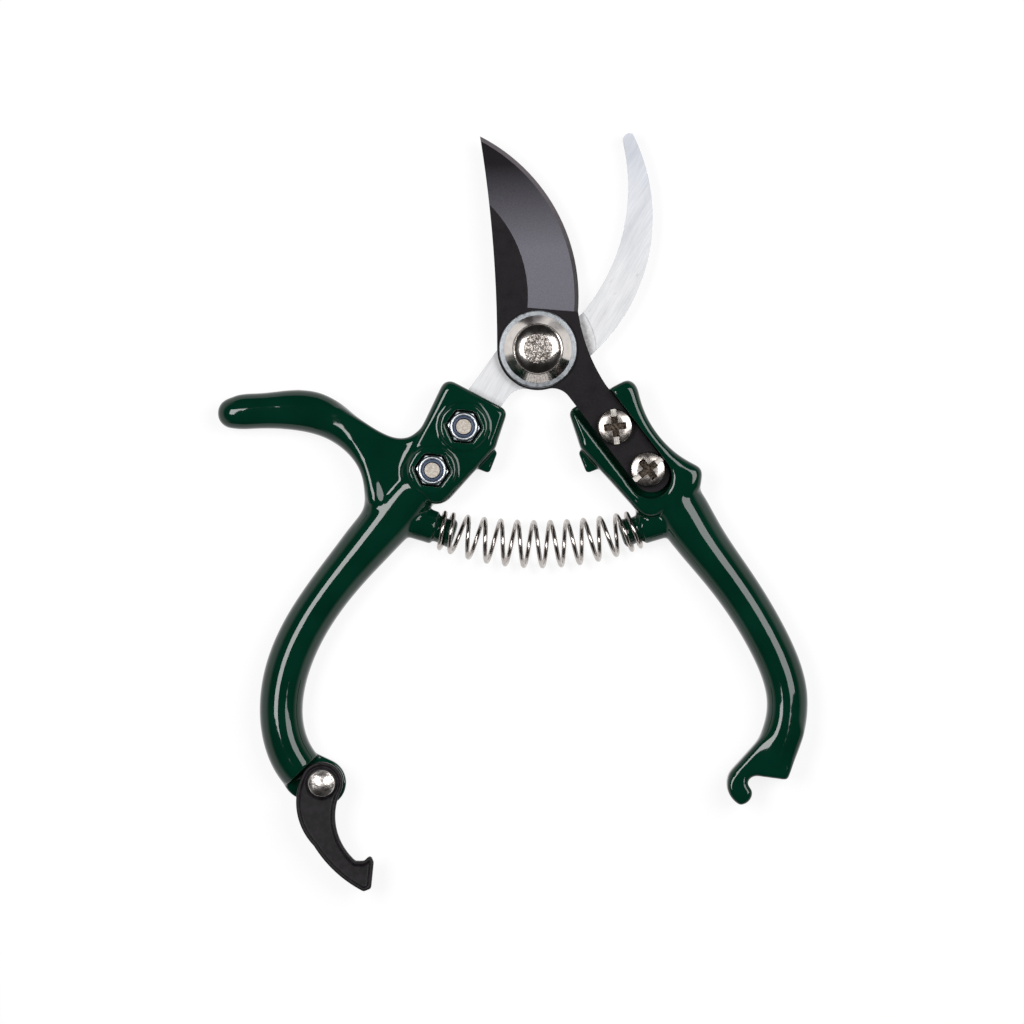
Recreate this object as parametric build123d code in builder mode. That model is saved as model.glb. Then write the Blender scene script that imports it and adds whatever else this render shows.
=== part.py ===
from build123d import *
import os
from math import asin, cos, degrees, pi, radians, sin, sqrt

# Bypass pruning shears, lying open on their back: two cast handles, a cutting blade that
# passes a hooked counter blade, a barrel spring between the handles and a latch at their ends.
# Millimetres. +Z is up and +Y runs to the blade tips. The origin is on the pivot axis, on the
# plane that the shears lie on.

# Pivot
pivot_diameter = 8.0
pivot_clearance = 0.06
pivot_eye_radius = 11.0
pivot_nut_flats = 13.0
pivot_nut_height = 3.8
washer_diameter = 21.0
washer_thickness = 1.4
washer_edge = 0.3
flange_diameter = 18.2
flange_thickness = 1.0
dome_diameter = 13.4
dome_height = 4.4
dome_top_diameter = 8.0

# Motion
closing_angle = 42.4

# Cutting blade, its edge an arc about edge_centre
cutting_thickness = 3.0
blade_gap = 0.06
edge_centre = (-37.8, 14.1)
edge_radius = 48.8
edge_tip_angle = 63.0
edge_heel_angle = -4.7
back_radius = 360.0
bevel_width = 13.7
bevel_sweep = 90.0
bevel_edge_thickness = 0.55
honed_width = 1.1
honed_edge_thickness = 0.15
shoulder_middle = (13.5, -0.2)
shoulder_run = 10.6

# Counter blade, its hook swelling outwards from an inner arc by a width at three angles
counter_thickness = 3.2
hook_centre = (-28.25, 43.9)
hook_inner_radius = 52.7
hook_inner_tip_angle = 13.6
hook_inner_root_angle = -40.5
hook_tip_width = 3.05
hook_tip_angle = 14.9
hook_middle_width = 8.3
hook_middle_angle = -16.9
hook_root_width = 9.6
hook_root_angle = -46.7
hook_tip_rise = 1.0
relief_inner_radius = 12.0
relief_outer_radius = 15.8
relief_depth = 0.4
relief_start_angle = -25.0
relief_sweep = 85.0

# Tangs: the upper screw's place, and the way each tang runs down from it
tang_width = 9.8
tang_root_run = 22.0
tang_end_run = 1.6
tang_corner_radius = 5.5
cutting_screw_place = (20.8, -20.9)
cutting_tang_angle = -52.5
counter_screw_place = (-20.0, -20.9)
counter_tang_angle = -125.9
screw_pitch = 14.5
pocket_clearance = 0.9
pocket_shift = 0.7
pocket_end_gap = 1.2
pocket_mouth_run = 30.0

# Screws and lock nuts
screw_diameter = 5.0
screw_clearance = 0.25
screw_length = 10.0
screw_head_diameter = 9.5
screw_head_height = 3.4
screw_head_rim = 1.0
screw_point = 0.5
driver_slot_width = 1.3
driver_slot_depth = 1.2
driver_cross_length = 5.4
upper_slot_turn = 148.8
lower_slot_turn = 90.8
thread_clearance = 0.03
nut_flats = 8.0
nut_height = 4.8
nut_hexagon_height = 3.4
nut_crown_diameter = 7.9
nut_pocket_clearance = 0.35
nut_seat_thickness = 2.1
insert_diameter = 6.6
insert_height = 1.1
crown_lip = 0.4
crown_mouth_diameter = 5.8

# Heads of the handles, from their backs to their fronts
head_thickness = 13.4
head_edge_radius = 1.8
collar_diameter = 13.0
collar_height = 0.7
mouth_inner_corner = (8.1, -16.5)
mouth_outer_corner = (25.0, -7.6)
head_corner_radius = 2.2
heel_corner_radius = 5.0
inner_knee = (11.4, -26.6)
inner_root = (26.6, -43.6)

# Stop lugs, whose faces meet on a line through the pivot
lug_inner_radius = 29.6
lug_outer_radius = 36.0
lug_depth = 5.0
lug_thickness = 7.0
lug_corner_radius = 0.8
lug_clearance_angle = 0.2

# Grips, whose sections are rounded by a share of their smaller side
grip_thickness = 13.2
bar_corner_share = 0.47
right_shoulder_start = (27.0, -10.5)
right_shoulder_middle = (33.0, -23.8)
right_shoulder_corner = (44.6, -32.0)
right_heel = (30.0, -46.3)
right_neck = (43.8, -38.0)
right_grip_line = (
    (36.4, -39.8),
    (40.5, -46.5),
    (49.3, -58.7),
    (57.1, -69.8),
    (63.5, -81.4),
    (67.3, -93.8),
    (66.3, -103.5),
    (63.4, -112.0),
)
right_grip_widths = (13.5, 14.0, 12.4, 11.7, 11.4, 11.2, 11.2, 10.0)
left_head_outer = (-30.4, -19.0)
left_head_lower = (-38.6, -34.5)
left_grip_line = (
    (-33.0, -36.6),
    (-38.6, -43.6),
    (-45.9, -52.4),
    (-59.5, -69.6),
    (-65.9, -81.4),
    (-69.3, -94.3),
    (-62.6, -115.0),
)
left_grip_widths = (13.5, 14.0, 12.2, 11.8, 11.9, 11.7, 12.0)

# Finger horn and the sunk web that joins it to the left head
horn_line = (
    (-82.4, -17.2),
    (-68.5, -16.3),
    (-57.0, -18.3),
    (-50.2, -23.8),
    (-45.9, -32.0),
    (-43.5, -42.0),
)
horn_widths = (8.7, 9.8, 10.9, 11.3, 9.6, 6.4, 4.6, 6.0)
horn_tip_thickness = 8.7
horn_root_thickness = 12.8
web_thickness = 11.4
web_edge_radius = 2.4
web_saddle = (
    (-25.5, -15.5),
    (-29.9, -19.4),
    (-35.5, -23.9),
    (-43.3, -21.8),
    (-48.5, -18.4),
    (-54.8, -14.8),
)
web_bead = (-47.4, -31.0)
web_grip = (-44.2, -44.0)
web_head_root = (-29.0, -34.0)

# Spring pegs and spring
peg_root_diameter = 9.6
peg_root_run = 12.0
peg_seat_diameter = 9.0
peg_neck_diameter = 7.2
peg_bulb_diameter = 8.6
peg_length = 5.6
peg_bulb_length = 2.4
spring_bow_radius = 90.0
spring_middle = (0.0, -52.6)
spring_half_span = 27.7
spring_wire = 1.2
spring_middle_diameter = 12.0
spring_end_diameter = 9.5
spring_turns = 13
spring_end_turns = 1.5
spring_end_pitch = 2.4
spring_seat_gap = 0.15
spring_step = 0.001

# Latch, its ear on the left handle and the hook on the right one
latch_place = (-58.3, -117.0)
latch_thickness = 5.0
latch_head_radius = 5.7
latch_gap = 0.1
latch_clearance = 0.4
latch_edge_radius = 0.4
latch_rim = 0.9
latch_recess = 0.5
latch_boss_diameter = 8.2
latch_corner_radius = 0.7
latch_flank_angle = 153.0
latch_throat_angle = -35.0
latch_flank_middle = (-65.2, -122.5)
latch_flank_end = (-60.4, -133.9)
latch_sole_middle = (-54.3, -141.2)
latch_toe_start = (-47.0, -146.2)
latch_toe_end = (-45.0, -145.4)
latch_tooth_back = (-44.3, -138.4)
latch_tooth_tip = (-45.1, -136.3)
latch_notch_outer = (-46.9, -138.0)
latch_notch_inner = (-49.2, -138.0)
latch_throat_middle = (-54.3, -129.5)
ear_radius = 6.5
ear_bottom = 1.4
ear_thickness = 6.2
ear_step_turn = 44.0
ear_step_width = 26.0
rivet_diameter = 4.0
rivet_clearance = 0.06
rivet_head_diameter = 7.3
rivet_head_height = 2.4
rivet_tail_diameter = 6.4
rivet_tail_height = 1.0
hook_thickness = 11.8
hook_corner_radius = 1.1
hook_edge_radius = 1.0
hook_wrist_inner = (60.6, -104.0)
hook_palm_middle = (54.9, -110.4)
hook_palm_end = (51.3, -114.3)
hook_back_middle = (51.3, -119.4)
hook_curl_tip = (54.4, -122.9)
hook_curl_middle = (57.3, -121.3)
hook_curl_end = (57.8, -119.2)
hook_notch_start = (56.5, -117.2)
hook_notch_middle = (57.2, -115.8)
hook_notch_end = (59.2, -115.1)
hook_corner = (67.3, -116.2)
hook_wrist_outer = (72.6, -102.0)
hook_wrist_middle = (66.5, -101.5)

# Heights that follow from the sizes above
counter_bottom = pivot_nut_height
shear_height = counter_bottom + counter_thickness
cutting_bottom = shear_height + blade_gap
cutting_top = cutting_bottom + cutting_thickness
washer_bottom = cutting_top + blade_gap
washer_top = washer_bottom + washer_thickness
handle_middle = head_thickness / 2
latch_bottom = ear_bottom + ear_thickness + latch_gap
latch_top = latch_bottom + latch_thickness
insert_bottom = nut_height - crown_lip - insert_height
spring_half_angle = degrees(asin(spring_half_span / spring_bow_radius))
spring_end_gap = spring_seat_gap + spring_wire / 2
spring_wire_angle = spring_half_angle - degrees(spring_end_gap / spring_bow_radius)
spring_length = 2 * radians(spring_wire_angle) * spring_bow_radius

cutting_tang = Location((*cutting_screw_place, 0), (0, 0, cutting_tang_angle))
counter_tang = Location((*counter_screw_place, 0), (0, 0, counter_tang_angle))
latch_frame = Location((*latch_place, 0), (0, 0, ear_step_turn))


def polar(centre, radius, angle):
    """The point at an angle and a radius about a centre."""
    return (centre[0] + radius * cos(radians(angle)), centre[1] + radius * sin(radians(angle)))


def mirrored(point):
    """The same place on the left side."""
    return (-point[0], point[1])


def dome_radius(diameter, height):
    """Radius of the ball that a round head of this size is cut from."""
    return (diameter**2 / 4 + height**2) / (2 * height)


def screw_places(tang):
    """Upper and lower screw of a tang."""
    return [tang, tang * Pos(screw_pitch, 0, 0)]


def tang_root(tang, side):
    """Where one flank of a tang leaves the pivot eye."""
    return (tang * Pos(tang_width - tang_root_run, side * tang_width / 2, 0)).position


def tang_profile(tang):
    """Flat tang with a round end, which reaches up into the pivot eye."""
    with BuildSketch() as profile:
        with Locations(tang):
            end = (screw_pitch + tang_end_run, 0)
            SlotCenterPoint(((end[0] - tang_root_run) / 2, 0), end, tang_width)
    return profile.sketch


def pocket_profile(tang, inner_side):
    """Pocket round a tang, open at the head's mouth and wider on its inner side."""
    with BuildSketch() as profile:
        with Locations(tang):
            across = inner_side * pocket_shift
            end = (screw_pitch + tang_end_run + pocket_end_gap - pocket_clearance, across)
            middle = ((end[0] - pocket_mouth_run) / 2, across)
            SlotCenterPoint(middle, end, tang_width + 2 * pocket_clearance)
    return profile.sketch


def lug_profile(side):
    """Stop lug: a block with its face on a line through the pivot."""
    face_angle = -90 + side * (closing_angle / 2 + lug_clearance_angle)
    inner = polar((0, 0), lug_inner_radius, face_angle)
    outer = polar((0, 0), lug_outer_radius, face_angle)
    away = face_angle + side * 90
    outer_back = polar(outer, lug_depth, away)
    inner_back = polar(inner, lug_depth, away)
    with BuildSketch() as profile:
        with BuildLine():
            Polyline(inner, outer, outer_back, inner_back, close=True)
        make_face()
        fillet(profile.vertices(), lug_corner_radius)
    return profile.sketch


def bar_sections(line, widths, thicknesses):
    """Rounded sections of a cast bar, evenly spaced along its centre line and square to it."""
    sections = []
    for index, (width, thickness) in enumerate(zip(widths, thicknesses)):
        share = index / (len(widths) - 1)
        run = line % share
        plane = Plane(line @ share, x_dir=(run.Y, -run.X, 0), z_dir=run)
        with BuildSketch(plane) as section:
            RectangleRounded(width, thickness, bar_corner_share * min(width, thickness))
        sections.append(section.sketch)
    return sections


def flat_line(points):
    """Centre line through points at the middle height of the handles."""
    with BuildLine(Plane.XY.offset(handle_middle)) as line:
        Spline(*points)
    return line.line


def spring_axis(angle):
    """Point of the spring's bowed axis, and its direction, at an angle from the middle."""
    bow_centre = (spring_middle[0], spring_middle[1] + spring_bow_radius)
    place = polar(bow_centre, spring_bow_radius, angle - 90)
    return Vector(*place, handle_middle), Vector(cos(radians(angle)), sin(radians(angle)), 0)


def peg_profile(side):
    """Half section of a spring peg, turned about the end of the spring's axis."""
    seat, run = spring_axis(side * spring_half_angle)
    inward = run * -side
    plane = Plane(seat, x_dir=inward, z_dir=(0, 0, 1))
    bulb_start = peg_length - peg_bulb_length
    with BuildSketch(plane) as profile:
        with BuildLine():
            Polyline(
                (-peg_root_run, 0),
                (-peg_root_run, peg_root_diameter / 2),
                (0, peg_seat_diameter / 2),
                (0, peg_neck_diameter / 2),
                (bulb_start, peg_neck_diameter / 2),
            )
            ThreePointArc(
                (bulb_start, peg_neck_diameter / 2),
                (bulb_start + peg_bulb_length / 2, peg_bulb_diameter / 2),
                (peg_length, peg_neck_diameter / 2),
            )
            Polyline((peg_length, peg_neck_diameter / 2), (peg_length, 0), (-peg_root_run, 0))
        make_face()
    return profile.sketch, Axis(seat, inward)


# Cutting blade
edge_tip = polar(edge_centre, edge_radius, edge_tip_angle)
edge_heel = polar(edge_centre, edge_radius, edge_heel_angle)
shoulder_end = (cutting_tang * Pos(-shoulder_run, tang_width / 2, 0)).position
bevel_plane = Plane(
    (*edge_centre, cutting_bottom),
    x_dir=(cos(radians(edge_heel_angle)), sin(radians(edge_heel_angle)), 0),
    z_dir=(sin(radians(edge_heel_angle)), -cos(radians(edge_heel_angle)), 0),
)

with BuildPart() as cutting_blade:
    with BuildSketch(Plane.XY.offset(cutting_bottom)) as plan:
        with BuildLine():
            CenterArc(edge_centre, edge_radius, edge_heel_angle, edge_tip_angle - edge_heel_angle)
            ThreePointArc(edge_heel, shoulder_middle, (shoulder_end.X, shoulder_end.Y))
            Polyline((shoulder_end.X, shoulder_end.Y), (0, 0), (-pivot_eye_radius, 0))
            RadiusArc((-pivot_eye_radius, 0), edge_tip, -back_radius)
        make_face()
        Circle(pivot_eye_radius)
        add(tang_profile(cutting_tang))
        fillet(plan.vertices().sort_by_distance(tang_root(cutting_tang, -1))[0], tang_corner_radius)
        Circle(pivot_diameter / 2 + pivot_clearance, mode=Mode.SUBTRACT)
        with Locations(*screw_places(cutting_tang)):
            Circle(screw_diameter / 2 + screw_clearance, mode=Mode.SUBTRACT)
    extrude(amount=cutting_thickness)
    with BuildSketch(bevel_plane) as bevel:
        with BuildLine():
            honed_start = edge_radius - honed_width
            past_edge = edge_radius + honed_width
            honed_slope = (bevel_edge_thickness - honed_edge_thickness) / honed_width
            Polyline(
                (edge_radius - bevel_width, cutting_thickness),
                (honed_start, bevel_edge_thickness),
                (past_edge, bevel_edge_thickness - honed_slope * (past_edge - honed_start)),
                (past_edge, cutting_thickness),
                close=True,
            )
        make_face()
    revolve(axis=Axis((*edge_centre, 0), (0, 0, 1)), revolution_arc=bevel_sweep, mode=Mode.SUBTRACT)

# Counter blade
hook_inner_sweep = hook_inner_tip_angle - hook_inner_root_angle
hook_inner_tip = polar(hook_centre, hook_inner_radius, hook_inner_tip_angle)
hook_inner_root = polar(hook_centre, hook_inner_radius, hook_inner_root_angle)
hook_outer_tip = polar(hook_centre, hook_inner_radius + hook_tip_width, hook_tip_angle)
hook_outer_middle = polar(hook_centre, hook_inner_radius + hook_middle_width, hook_middle_angle)
hook_outer_root = polar(hook_centre, hook_inner_radius + hook_root_width, hook_root_angle)
relief_plane = Plane(
    (0, 0, shear_height),
    x_dir=(cos(radians(relief_start_angle)), sin(radians(relief_start_angle)), 0),
    z_dir=(sin(radians(relief_start_angle)), -cos(radians(relief_start_angle)), 0),
)

with BuildPart() as counter_blade:
    with BuildSketch(Plane.XY.offset(counter_bottom)) as plan:
        with BuildLine():
            CenterArc(hook_centre, hook_inner_radius, hook_inner_root_angle, hook_inner_sweep)
            SagittaArc(hook_inner_tip, hook_outer_tip, hook_tip_rise)
            ThreePointArc(hook_outer_tip, hook_outer_middle, hook_outer_root)
            Polyline(hook_outer_root, (0, -pivot_eye_radius), (0, 0), hook_inner_root)
        make_face()
        Circle(pivot_eye_radius)
        add(tang_profile(counter_tang))
        fillet(plan.vertices().sort_by_distance(tang_root(counter_tang, 1))[0], tang_corner_radius)
        Circle(pivot_diameter / 2 + pivot_clearance, mode=Mode.SUBTRACT)
        with Locations(*screw_places(counter_tang)):
            Circle(screw_diameter / 2 + screw_clearance, mode=Mode.SUBTRACT)
    extrude(amount=counter_thickness)
    with BuildSketch(relief_plane):
        with Locations(((relief_inner_radius + relief_outer_radius) / 2, 0)):
            Rectangle(relief_outer_radius - relief_inner_radius, 2 * relief_depth)
    revolve(axis=Axis.Z, revolution_arc=relief_sweep, mode=Mode.SUBTRACT)

# Handles
right_thicknesses = [grip_thickness] * len(right_grip_widths)
right_sections = bar_sections(flat_line(right_grip_line), right_grip_widths, right_thicknesses)
left_thicknesses = [grip_thickness] * len(left_grip_widths)
left_sections = bar_sections(flat_line(left_grip_line), left_grip_widths, left_thicknesses)
horn_step = (horn_root_thickness - horn_tip_thickness) / (len(horn_widths) - 1)
horn_thicknesses = [horn_tip_thickness + horn_step * index for index in range(len(horn_widths))]
horn_sections = bar_sections(flat_line(horn_line), horn_widths, horn_thicknesses)
right_peg, right_peg_axis = peg_profile(1)
left_peg, left_peg_axis = peg_profile(-1)

hook_corners = (
    hook_palm_end,
    hook_curl_tip,
    hook_curl_end,
    hook_notch_start,
    hook_notch_end,
    hook_corner,
    hook_wrist_outer,
    hook_wrist_inner,
)

with BuildPart() as hook:
    with BuildSketch(Plane.XY.offset(handle_middle)) as plan:
        with BuildLine():
            ThreePointArc(hook_wrist_inner, hook_palm_middle, hook_palm_end)
            ThreePointArc(hook_palm_end, hook_back_middle, hook_curl_tip)
            ThreePointArc(hook_curl_tip, hook_curl_middle, hook_curl_end)
            Line(hook_curl_end, hook_notch_start)
            ThreePointArc(hook_notch_start, hook_notch_middle, hook_notch_end)
            Polyline(hook_notch_end, hook_corner, hook_wrist_outer, hook_wrist_middle, hook_wrist_inner)
        make_face()
        for corner in hook_corners:
            fillet(plan.vertices().sort_by_distance(corner)[0], hook_corner_radius)
    extrude(amount=hook_thickness / 2, both=True)
    fillet(hook.faces().filter_by(Axis.Z).edges(), hook_edge_radius)

right_head_corners = (
    right_shoulder_start,
    mouth_outer_corner,
    mouth_inner_corner,
    inner_knee,
    inner_root,
    right_neck,
    right_shoulder_corner,
)

with BuildPart() as right_handle:
    with BuildSketch() as plan:
        with BuildLine():
            Polyline(*right_head_corners[:-2], right_heel, *right_head_corners[-2:])
            ThreePointArc(right_shoulder_start, right_shoulder_middle, right_shoulder_corner)
        make_face()
        fillet(plan.vertices().sort_by_distance(right_heel)[0], heel_corner_radius)
        for corner in right_head_corners:
            fillet(plan.vertices().sort_by_distance(corner)[0], head_corner_radius)
    extrude(amount=head_thickness)
    fillet(right_handle.faces().filter_by(Axis.Z).edges(), head_edge_radius)
    loft(right_sections)
    revolve(right_peg, axis=right_peg_axis)
    with BuildSketch(Plane.XY.offset(handle_middle)):
        add(lug_profile(1))
    extrude(amount=lug_thickness / 2, both=True)
    add(hook.part)
    with BuildSketch(Plane.XY.offset(cutting_bottom)):
        add(pocket_profile(cutting_tang, -1))
    extrude(amount=head_thickness, mode=Mode.SUBTRACT)
    with BuildSketch():
        with Locations(*screw_places(cutting_tang)):
            RegularPolygon(nut_flats / 2 + nut_pocket_clearance, 6, major_radius=False)
    extrude(amount=cutting_bottom - nut_seat_thickness, mode=Mode.SUBTRACT)
    with BuildSketch():
        with Locations(*screw_places(cutting_tang)):
            Circle(screw_diameter / 2 + screw_clearance)
    extrude(amount=head_thickness, mode=Mode.SUBTRACT)

left_mouth_corners = (mirrored(mouth_outer_corner), mirrored(mouth_inner_corner))

with BuildPart() as web:
    with BuildSketch(Plane.XY.offset(handle_middle)):
        with BuildLine():
            Spline(*web_saddle)
            Polyline(web_saddle[-1], web_bead, web_grip, web_head_root, web_saddle[0])
        make_face()
    extrude(amount=web_thickness / 2, both=True)
    saddle_edges = web.faces().sort_by_distance(web_saddle[2])[0].edges().filter_by(GeomType.BSPLINE)
    fillet(saddle_edges, web_edge_radius)

with BuildPart() as left_handle:
    with BuildSketch() as plan:
        with BuildLine():
            Polyline(
                *left_mouth_corners,
                mirrored(inner_knee),
                mirrored(inner_root),
                left_head_lower,
                left_head_outer,
                close=True,
            )
        make_face()
        for corner in (mirrored(inner_root), left_head_lower):
            fillet(plan.vertices().sort_by_distance(corner)[0], heel_corner_radius)
        for corner in (*left_mouth_corners, mirrored(inner_knee), left_head_outer):
            fillet(plan.vertices().sort_by_distance(corner)[0], head_corner_radius)
    extrude(amount=head_thickness)
    fillet(left_handle.faces().filter_by(Axis.Z).edges(), head_edge_radius)
    loft(left_sections)
    loft(horn_sections)
    with Locations((*horn_line[0], handle_middle)):
        Sphere(horn_tip_thickness / 2)
    add(web.part)
    revolve(left_peg, axis=left_peg_axis)
    with BuildSketch(Plane.XY.offset(handle_middle)):
        add(lug_profile(-1))
    extrude(amount=lug_thickness / 2, both=True)
    with BuildSketch(Plane.XY.offset(ear_bottom)):
        with BuildLine():
            for centre in (latch_place, left_grip_line[-1]):
                CenterArc(centre, ear_radius, 0, 360)
        make_hull()
    extrude(amount=ear_thickness)
    with BuildSketch(Plane.XY.offset(ear_bottom + ear_thickness)):
        with Locations(latch_frame * Pos(0, latch_head_radius + latch_clearance)):
            Rectangle(ear_step_width, 2 * ear_step_width, align=(Align.CENTER, Align.MAX))
    extrude(amount=head_thickness, mode=Mode.SUBTRACT)
    with BuildSketch():
        with Locations(latch_place):
            Circle(rivet_diameter / 2 + rivet_clearance)
    extrude(amount=head_thickness, mode=Mode.SUBTRACT)
    with BuildSketch(Plane.XY.offset(shear_height)):
        with Locations(*screw_places(counter_tang)):
            Circle(collar_diameter / 2)
    extrude(amount=head_thickness + collar_height - shear_height)
    with BuildSketch():
        add(pocket_profile(counter_tang, 1))
    extrude(amount=shear_height, mode=Mode.SUBTRACT)
    with BuildSketch(Plane.XY.offset(shear_height + nut_seat_thickness)):
        with Locations(*screw_places(counter_tang)):
            RegularPolygon(nut_flats / 2 + nut_pocket_clearance, 6, major_radius=False)
    extrude(amount=head_thickness, mode=Mode.SUBTRACT)
    with BuildSketch():
        with Locations(*screw_places(counter_tang)):
            Circle(screw_diameter / 2 + screw_clearance)
    extrude(amount=head_thickness, mode=Mode.SUBTRACT)

# Latch and its rivet
latch_flank_start = polar(latch_place, latch_head_radius, latch_flank_angle)
latch_throat_end = polar(latch_place, latch_head_radius, latch_throat_angle)
latch_head_sweep = latch_flank_angle - latch_throat_angle
latch_corners = (
    latch_toe_start,
    latch_toe_end,
    latch_tooth_back,
    latch_tooth_tip,
    latch_notch_outer,
    latch_notch_inner,
)

with BuildPart() as latch:
    with BuildSketch(Plane.XY.offset(latch_bottom)) as plan:
        with BuildLine():
            CenterArc(latch_place, latch_head_radius, latch_throat_angle, latch_head_sweep)
            ThreePointArc(latch_flank_start, latch_flank_middle, latch_flank_end)
            ThreePointArc(latch_flank_end, latch_sole_middle, latch_toe_start)
            Polyline(*latch_corners)
            ThreePointArc(latch_notch_inner, latch_throat_middle, latch_throat_end)
        make_face()
        for corner in (*latch_corners, latch_throat_end):
            fillet(plan.vertices().sort_by_distance(corner)[0], latch_corner_radius)
    extrude(amount=latch_thickness)
    fillet(latch.faces().sort_by(Axis.Z)[-1].edges(), latch_edge_radius)
    with BuildSketch(Plane.XY.offset(latch_top)):
        add(plan.sketch)
        offset(amount=-latch_rim, kind=Kind.INTERSECTION)
        with Locations(latch_place):
            Circle(latch_boss_diameter / 2, mode=Mode.SUBTRACT)
    extrude(amount=-latch_recess, mode=Mode.SUBTRACT)
    with BuildSketch(Plane.XY.offset(latch_bottom)):
        with Locations(latch_place):
            Circle(rivet_diameter / 2 + rivet_clearance)
    extrude(amount=latch_thickness, mode=Mode.SUBTRACT)

with BuildPart() as latch_rivet:
    with BuildSketch(Plane.XZ.offset(-latch_place[1])):
        with BuildLine():
            head_bottom = latch_top + latch_gap
            Polyline(
                (latch_place[0], head_bottom + rivet_head_height),
                (latch_place[0], ear_bottom - rivet_tail_height),
                (latch_place[0] + rivet_tail_diameter / 2, ear_bottom - rivet_tail_height),
                (latch_place[0] + rivet_tail_diameter / 2, ear_bottom),
                (latch_place[0] + rivet_diameter / 2, ear_bottom),
                (latch_place[0] + rivet_diameter / 2, head_bottom),
                (latch_place[0] + rivet_head_diameter / 2, head_bottom),
            )
            RadiusArc(
                (latch_place[0] + rivet_head_diameter / 2, head_bottom),
                (latch_place[0], head_bottom + rivet_head_height),
                -dome_radius(rivet_head_diameter, rivet_head_height),
            )
        make_face()
    revolve(axis=Axis((*latch_place, 0), (0, 0, 1)))

# Pivot bolt, washer and nut
with BuildPart() as pivot_bolt:
    with BuildSketch(Plane.XZ):
        with BuildLine():
            dome_bottom = washer_top + flange_thickness
            dome_flank = (dome_diameter - dome_top_diameter) / 2
            Polyline(
                (0, dome_bottom + dome_height),
                (0, 0),
                (pivot_diameter / 2, 0),
                (pivot_diameter / 2, washer_top),
                (flange_diameter / 2, washer_top),
                (flange_diameter / 2, dome_bottom),
                (dome_diameter / 2, dome_bottom),
            )
            Line((0, dome_bottom + dome_height), (dome_top_diameter / 2, dome_bottom + dome_height))
            ThreePointArc(
                (dome_top_diameter / 2, dome_bottom + dome_height),
                (dome_top_diameter / 2 + dome_flank * cos(pi / 4), dome_bottom + dome_height * sin(pi / 4)),
                (dome_diameter / 2, dome_bottom),
            )
        make_face()
    revolve(axis=Axis.Z)

with BuildPart() as pivot_washer:
    with BuildSketch(Plane.XY.offset(washer_bottom)):
        Circle(washer_diameter / 2)
        Circle(pivot_diameter / 2 + pivot_clearance, mode=Mode.SUBTRACT)
    extrude(amount=washer_thickness)
    chamfer(pivot_washer.faces().sort_by(Axis.Z)[-1].edges().sort_by(SortBy.LENGTH)[-1], washer_edge)

with BuildPart() as pivot_nut:
    with BuildSketch():
        RegularPolygon(pivot_nut_flats / 2, 6, major_radius=False)
        Circle(pivot_diameter / 2 + thread_clearance, mode=Mode.SUBTRACT)
    extrude(amount=pivot_nut_height)


def make_screw(place, slot_turn):
    """Pan head screw with a crossed driver slot, its head standing on the place's plane."""
    shank = screw_diameter / 2
    head = screw_head_diameter / 2
    with BuildPart() as screw:
        with BuildSketch(Plane.XZ):
            with BuildLine():
                Polyline(
                    (0, screw_head_height),
                    (0, -screw_length),
                    (shank - screw_point, -screw_length),
                    (shank, screw_point - screw_length),
                    (shank, 0),
                    (head, 0),
                    (head, screw_head_rim),
                )
                RadiusArc(
                    (head, screw_head_rim),
                    (0, screw_head_height),
                    -dome_radius(screw_head_diameter, screw_head_height - screw_head_rim),
                )
            make_face()
        revolve(axis=Axis.Z)
        with BuildSketch(Plane.XY.offset(screw_head_height)):
            Rectangle(screw_head_diameter, driver_slot_width, rotation=slot_turn)
            Rectangle(driver_slot_width, driver_cross_length, rotation=slot_turn)
        extrude(amount=-driver_slot_depth, mode=Mode.SUBTRACT)
    return screw.part.moved(place)


def make_nut(place):
    """Lock nut: a hexagon with a round crown that holds the nylon insert."""
    with BuildPart() as nut:
        with BuildSketch():
            RegularPolygon(nut_flats / 2, 6, major_radius=False)
        extrude(amount=nut_hexagon_height)
        with BuildSketch():
            Circle(nut_crown_diameter / 2)
        extrude(amount=nut_height)
        with BuildSketch():
            Circle(screw_diameter / 2 + thread_clearance)
        extrude(amount=nut_height, mode=Mode.SUBTRACT)
        with BuildSketch(Plane.XY.offset(insert_bottom)):
            Circle(insert_diameter / 2)
        extrude(amount=insert_height, mode=Mode.SUBTRACT)
        with BuildSketch(Plane.XY.offset(insert_bottom)):
            Circle(crown_mouth_diameter / 2)
        extrude(amount=nut_height, mode=Mode.SUBTRACT)
    return nut.part.moved(place)


def make_insert(place):
    """Nylon ring that fills the nut's crown."""
    with BuildPart() as insert:
        with BuildSketch(Plane.XY.offset(insert_bottom)):
            Circle(insert_diameter / 2)
            Circle(screw_diameter / 2 + thread_clearance, mode=Mode.SUBTRACT)
        extrude(amount=insert_height)
    return insert.part.moved(place)


def arc_joint(start, start_run, end, end_run):
    """Where the two arcs meet that join two points of the wire smoothly."""
    chord = end - start
    runs = start_run + end_run
    bend = 2 * (1 - start_run.dot(end_run))
    reach = (sqrt(chord.dot(runs) ** 2 + bend * chord.dot(chord)) - chord.dot(runs)) / bend
    return (start + start_run * reach + end - end_run * reach) / 2


def spring_share(turn):
    """Share of the spring's length that lies before a turn: close end turns, open middle ones."""
    end_share = spring_end_turns * spring_end_pitch / spring_length
    open_turns = spring_turns - 2 * spring_end_turns
    if turn < spring_end_turns:
        return turn * spring_end_pitch / spring_length
    if turn > spring_turns - spring_end_turns:
        return 1 - (spring_turns - turn) * spring_end_pitch / spring_length
    return end_share + (1 - 2 * end_share) * (turn - spring_end_turns) / open_turns


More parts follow.
